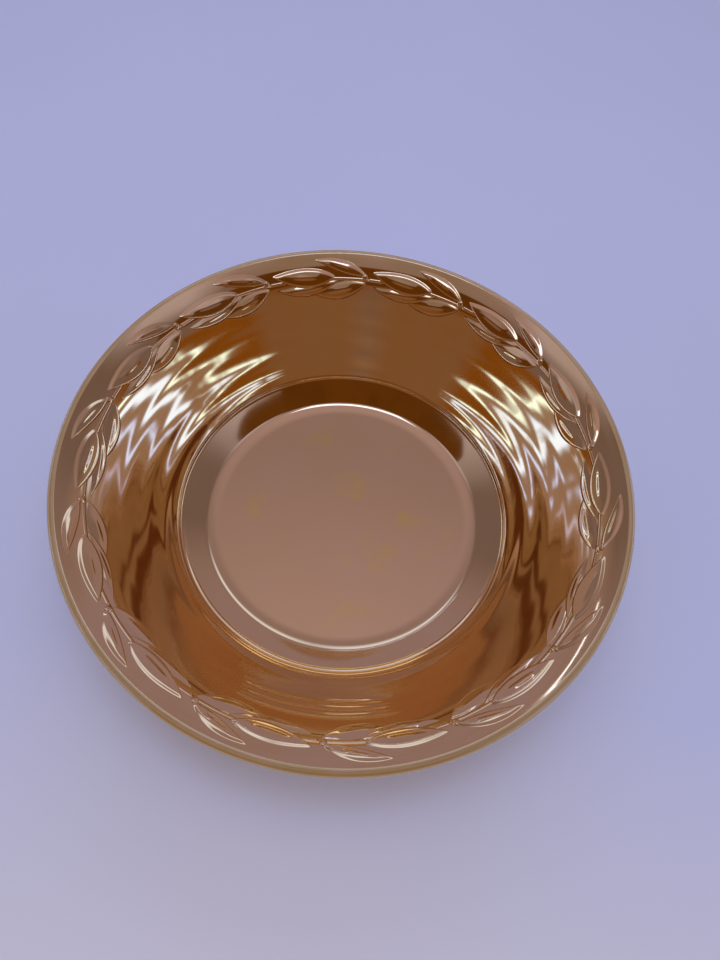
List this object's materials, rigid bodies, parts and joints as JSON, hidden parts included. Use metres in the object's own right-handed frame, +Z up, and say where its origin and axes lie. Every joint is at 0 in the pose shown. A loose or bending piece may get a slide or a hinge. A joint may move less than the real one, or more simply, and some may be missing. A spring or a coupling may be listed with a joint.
{
  "type": "serving bowl",
  "caption": "Round shallow serving bowl in pressed opal glass with a peach lustre, a sloping brim with a raised laurel garland, a rounded lip and a low foot ring.",
  "frame": {"origin": "centre of the foot ring, on the surface that the bowl stands on", "axes": "+Z up along the bowl's axis of revolution; the first sprig of the garland starts 2 degrees anticlockwise of +Y"},
  "size_m": [0.21, 0.21, 0.054],
  "materials": {
    "lustre_glass": "glossy opaque opal glass under a fired-on peach to amber metallic lustre",
    "lip_glass": "glossy fire-polished lip where the lustre is thin and the glass shows tan",
    "foot_glass": "glossy lustred foot ring, lightly worn on its standing edge",
    "laurel_glass": "glossy raised leaves under the same peach lustre"
  },
  "bodies": {
    "root": {"glass_body": "lustre_glass", "rim_lip": "lip_glass", "foot_ring": "foot_glass", "laurel_sprig_01": "laurel_glass", "laurel_sprig_02": "laurel_glass", "laurel_sprig_03": "laurel_glass", "laurel_sprig_04": "laurel_glass", "laurel_sprig_05": "laurel_glass", "laurel_sprig_06": "laurel_glass", "laurel_sprig_07": "laurel_glass", "laurel_sprig_08": "laurel_glass", "laurel_sprig_09": "laurel_glass", "laurel_sprig_10": "laurel_glass", "laurel_sprig_11": "laurel_glass", "laurel_sprig_12": "laurel_glass", "laurel_sprig_13": "laurel_glass", "laurel_sprig_14": "laurel_glass"}
  },
  "joints": []
}
